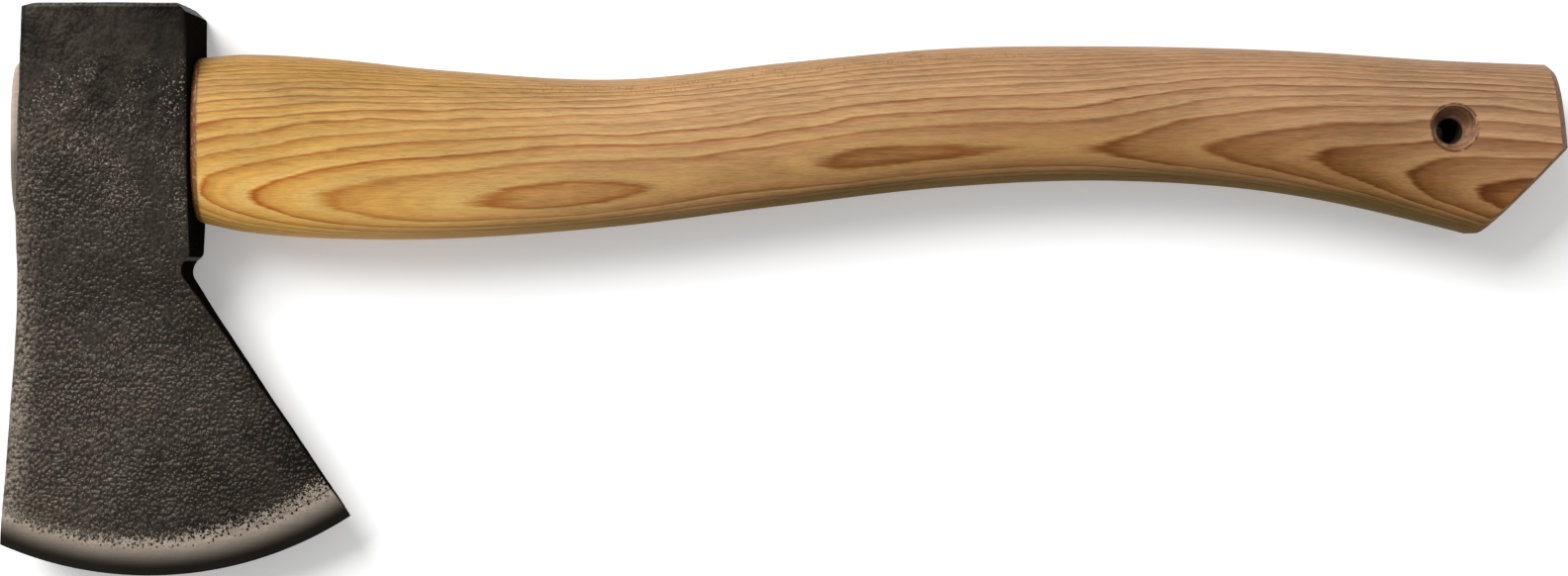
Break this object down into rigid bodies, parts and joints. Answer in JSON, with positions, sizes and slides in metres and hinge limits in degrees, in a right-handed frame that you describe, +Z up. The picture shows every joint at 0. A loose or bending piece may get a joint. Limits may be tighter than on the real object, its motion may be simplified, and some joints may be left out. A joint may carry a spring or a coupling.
{
  "type": "hatchet",
  "caption": "Small axe: a black forged steel head with a flared bit, wedged on to a curved ash handle with a slanted butt and a lanyard hole.",
  "frame": {"origin": "on the surface that the tool lies on, under the middle of its outline", "axes": "+X along the handle from the head to the butt, +Y from the cutting edge to the poll, +Z up out of the surface, square to the cheeks"},
  "size_m": [0.377, 0.138, 0.026],
  "materials": {
    "forged_steel": "black forged scale with an oiled sheen, pitted, and a bare ground edge",
    "ash_wood": "satin clear varnish over open brown grain",
    "wedge_wood": "bare end grain",
    "wedge_steel": "dull bare steel"
  },
  "bodies": {
    "root": {"axe_head": "forged_steel", "handle": "ash_wood", "eye_wedge": "wedge_wood", "steel_wedge": "wedge_steel"}
  },
  "joints": []
}
